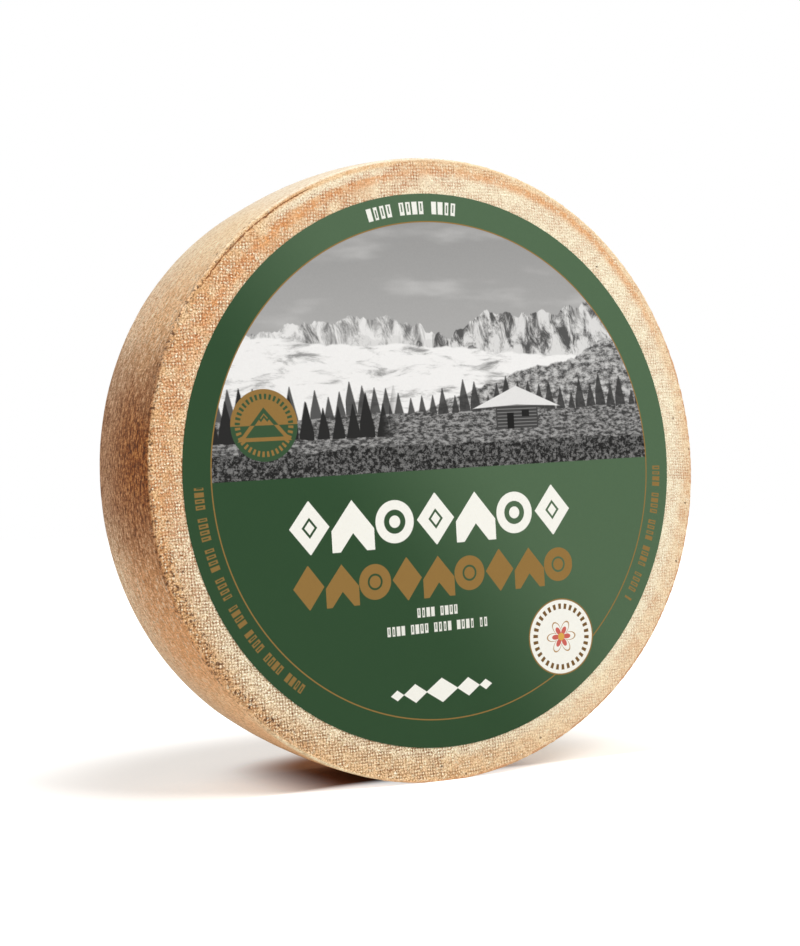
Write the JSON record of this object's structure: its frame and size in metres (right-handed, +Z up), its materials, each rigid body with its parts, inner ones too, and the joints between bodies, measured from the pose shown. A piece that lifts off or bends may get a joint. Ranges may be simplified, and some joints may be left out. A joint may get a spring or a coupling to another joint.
{
  "type": "mountain cheese wheel",
  "caption": "Whole wheel of mountain cheese standing on its rim, with a cloth-printed rind and a round printed paper label on its face.",
  "frame": {"origin": "on the floor, under the middle of the wheel: the centre of the bounding box's bottom face", "axes": "+Y along the wheel's axis, from the labelled face towards the bare one; +X to the right as the label is read; +Z up"},
  "size_m": [0.3098, 0.0692, 0.3098],
  "materials": {
    "rind": "matte",
    "label_paper": "matte"
  },
  "bodies": {
    "root": {"cheese_wheel": "rind", "label": "label_paper"}
  },
  "joints": []
}
